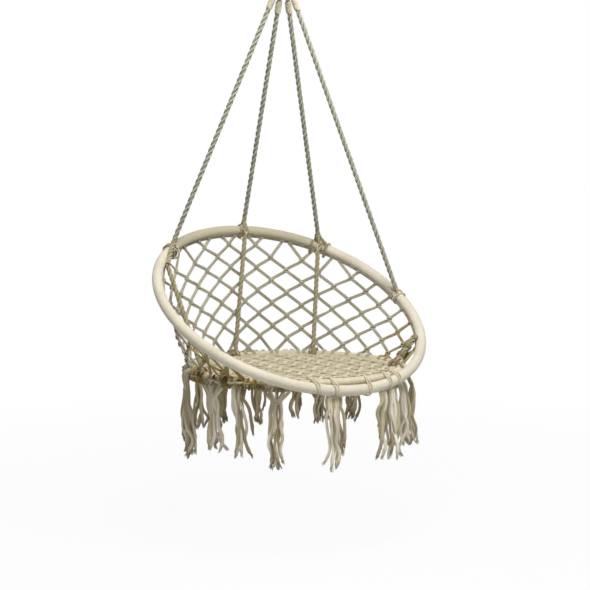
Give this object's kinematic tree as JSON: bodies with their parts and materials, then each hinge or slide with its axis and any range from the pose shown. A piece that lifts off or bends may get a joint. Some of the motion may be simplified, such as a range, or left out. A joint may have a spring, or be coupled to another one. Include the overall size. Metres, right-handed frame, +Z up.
{
  "type": "hanging hammock chair",
  "caption": "Hanging hammock chair: padded back hoop and lashed seat hoop joined by a knotted diamond net, hung by ropes from a swivel snap hook on a ceiling plate, with tassels round the seat.",
  "frame": {"origin": "centre of the ceiling plate's upper face, which lies against the ceiling", "axes": "+Z up, the chair's open front faces -Y, its right side as seen from the front is +X"},
  "size_m": [0.8405, 0.733, 1.5275],
  "materials": {
    "galvanised_steel": "zinc plated, satin",
    "tube_steel": "thin grey coat, hidden inside the wrapping",
    "foam": "soft foam pad, hidden inside the cover",
    "cotton_cover": "smooth cream cotton, sewn along the inside",
    "cotton_rope": "laid cotton rope, grey beige",
    "whipping_twine": "tight turns of twine",
    "net_cord": "soft twisted cord, square knots",
    "seat_cord": "dense knotted cotton cord, warm beige",
    "fringe_cord": "loose cotton cords, frayed ends"
  },
  "bodies": {
    "ceiling": {"ceiling_plate": "galvanised_steel"},
    "swivel": {"swivel_eye": "galvanised_steel"},
    "hook": {"hook_body": "galvanised_steel"},
    "gate": {"hook_gate": "galvanised_steel", "gate_pin": "galvanised_steel"},
    "chair": {"gathering_ring": "galvanised_steel", "rope_eyes": "cotton_rope", "rope_whippings": "whipping_twine", "rope_1": "cotton_rope", "rope_2": "cotton_rope", "rope_3": "cotton_rope", "rope_4": "cotton_rope", "hoop_hitch_1": "cotton_rope", "hoop_hitch_2": "cotton_rope", "hoop_hitch_3": "cotton_rope", "hoop_hitch_4": "cotton_rope", "stay_1": "cotton_rope", "stay_2": "cotton_rope", "stay_3": "cotton_rope", "stay_4": "cotton_rope", "back_hoop_tube": "tube_steel", "back_hoop_foam": "foam", "back_hoop_cover": "cotton_cover", "back_hoop_hem": "cotton_cover", "side_net_1": "net_cord", "side_net_2": "net_cord", "side_net_3": "net_cord", "side_net_4": "net_cord", "side_net_5": "net_cord", "side_net_6": "net_cord", "side_net_7": "net_cord", "side_net_8": "net_cord", "side_net_9": "net_cord", "side_net_10": "net_cord", "side_net_11": "net_cord", "side_net_12": "net_cord", "front_lashings": "net_cord", "tassel_8": "fringe_cord", "tassel_9": "fringe_cord"},
    "seat": {"seat_hoop_tube": "tube_steel", "seat_hoop_wrap": "seat_cord", "seat_edge_cord": "fringe_cord", "seat_net": "seat_cord", "tassel_1": "fringe_cord", "tassel_2": "fringe_cord", "tassel_3": "fringe_cord", "tassel_4": "fringe_cord", "tassel_5": "fringe_cord", "tassel_6": "fringe_cord", "tassel_7": "fringe_cord", "tassel_10": "fringe_cord", "tassel_11": "fringe_cord", "tassel_12": "fringe_cord", "tassel_13": "fringe_cord", "tassel_14": "fringe_cord", "tassel_15": "fringe_cord", "tassel_16": "fringe_cord"}
  },
  "joints": [
    {"name": "swing_fore_aft", "type": "hinge", "parent": "ceiling", "child": "swivel", "pos_m": [0, 0, -0.033], "axis": [1, 0, 0], "range_deg": [-30, 30]},
    {"name": "spin", "type": "hinge", "parent": "swivel", "child": "hook", "pos_m": [0, 0, -0.06], "axis": [0, 0, 1], "continuous": true},
    {"name": "gate_open", "type": "hinge", "parent": "hook", "child": "gate", "pos_m": [0, -0.018, -0.0923], "axis": [1, 0, 0], "range_deg": [0, 35], "stiffness_Nm_per_rad": 0.15, "springref_deg": -11.46},
    {"name": "swing_sideways", "type": "hinge", "parent": "hook", "child": "chair", "pos_m": [0, 0, -0.1403], "axis": [0, 1, 0], "range_deg": [-22, 22]},
    {"name": "seat_fold", "type": "hinge", "parent": "chair", "child": "seat", "pos_m": [0.016, -0.34, -1.2745], "axis": [1, 0, 0], "range_deg": [0, 24], "deforming": ["side_net_1", "side_net_2", "side_net_3", "side_net_4", "side_net_5", "side_net_6", "side_net_7", "side_net_8", "side_net_9", "side_net_10", "side_net_11", "side_net_12", "stay_1", "stay_2", "stay_3", "stay_4", "front_lashings"]}
  ]
}
